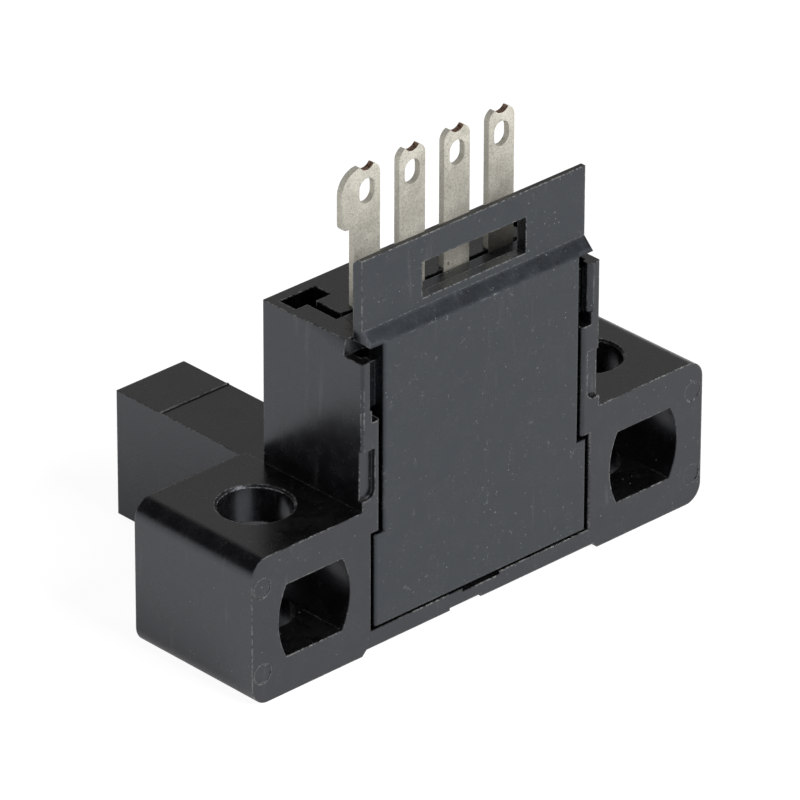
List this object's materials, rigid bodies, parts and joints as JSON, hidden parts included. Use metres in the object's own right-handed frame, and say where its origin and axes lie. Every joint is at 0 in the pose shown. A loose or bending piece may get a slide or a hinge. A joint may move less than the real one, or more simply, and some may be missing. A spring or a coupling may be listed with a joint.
{
  "type": "slotted optical switch",
  "caption": "Fork-shaped optical switch with mounting ears, a snap-in rear cover with a flange and a row of tab terminals; senses what passes through its slot.",
  "frame": {"origin": "midway between the two mounting holes, on the plane that the ears sit on", "axes": "+X from ear to ear, +Y from the cover towards the fork tips, +Z along the mounting holes towards the terminal tips"},
  "size_m": [0.026, 0.0157, 0.0207],
  "materials": {
    "housing_plastic": "moulded black plastic, satin, fine specks",
    "cover_plastic": "moulded black plastic, finely textured",
    "terminal_metal": "tin-plated, with bare copper alloy at the broken tips",
    "board": "green solder mask",
    "emitter_epoxy": "clear tinted epoxy",
    "receiver_epoxy": "infrared-passing dark epoxy",
    "lead_metal": "tinned",
    "infrared_window": "smooth dark red, almost black",
    "indicator_red": "clear red",
    "indicator_chip": "pale moulded lamp chip",
    "package_black": "moulded epoxy",
    "chip_dark": "glazed ceramic chip",
    "chip_tan": "ceramic chip",
    "solder": "bright solder"
  },
  "bodies": {
    "root": {"housing": "housing_plastic", "rear_cover": "cover_plastic", "terminal_1": "terminal_metal", "terminal_2": "terminal_metal", "terminal_3": "terminal_metal", "terminal_4": "terminal_metal", "circuit_board": "board", "emitter": "emitter_epoxy", "emitter_leads": "lead_metal", "receiver": "receiver_epoxy", "receiver_leads": "lead_metal", "emitter_window": "infrared_window", "receiver_window": "infrared_window", "indicator_led": "indicator_chip", "indicator_window": "indicator_red", "output_transistor": "package_black", "transistor_leads": "lead_metal", "chip_resistors": "chip_dark", "chip_capacitor": "chip_tan", "solder_joints": "solder"}
  },
  "joints": []
}
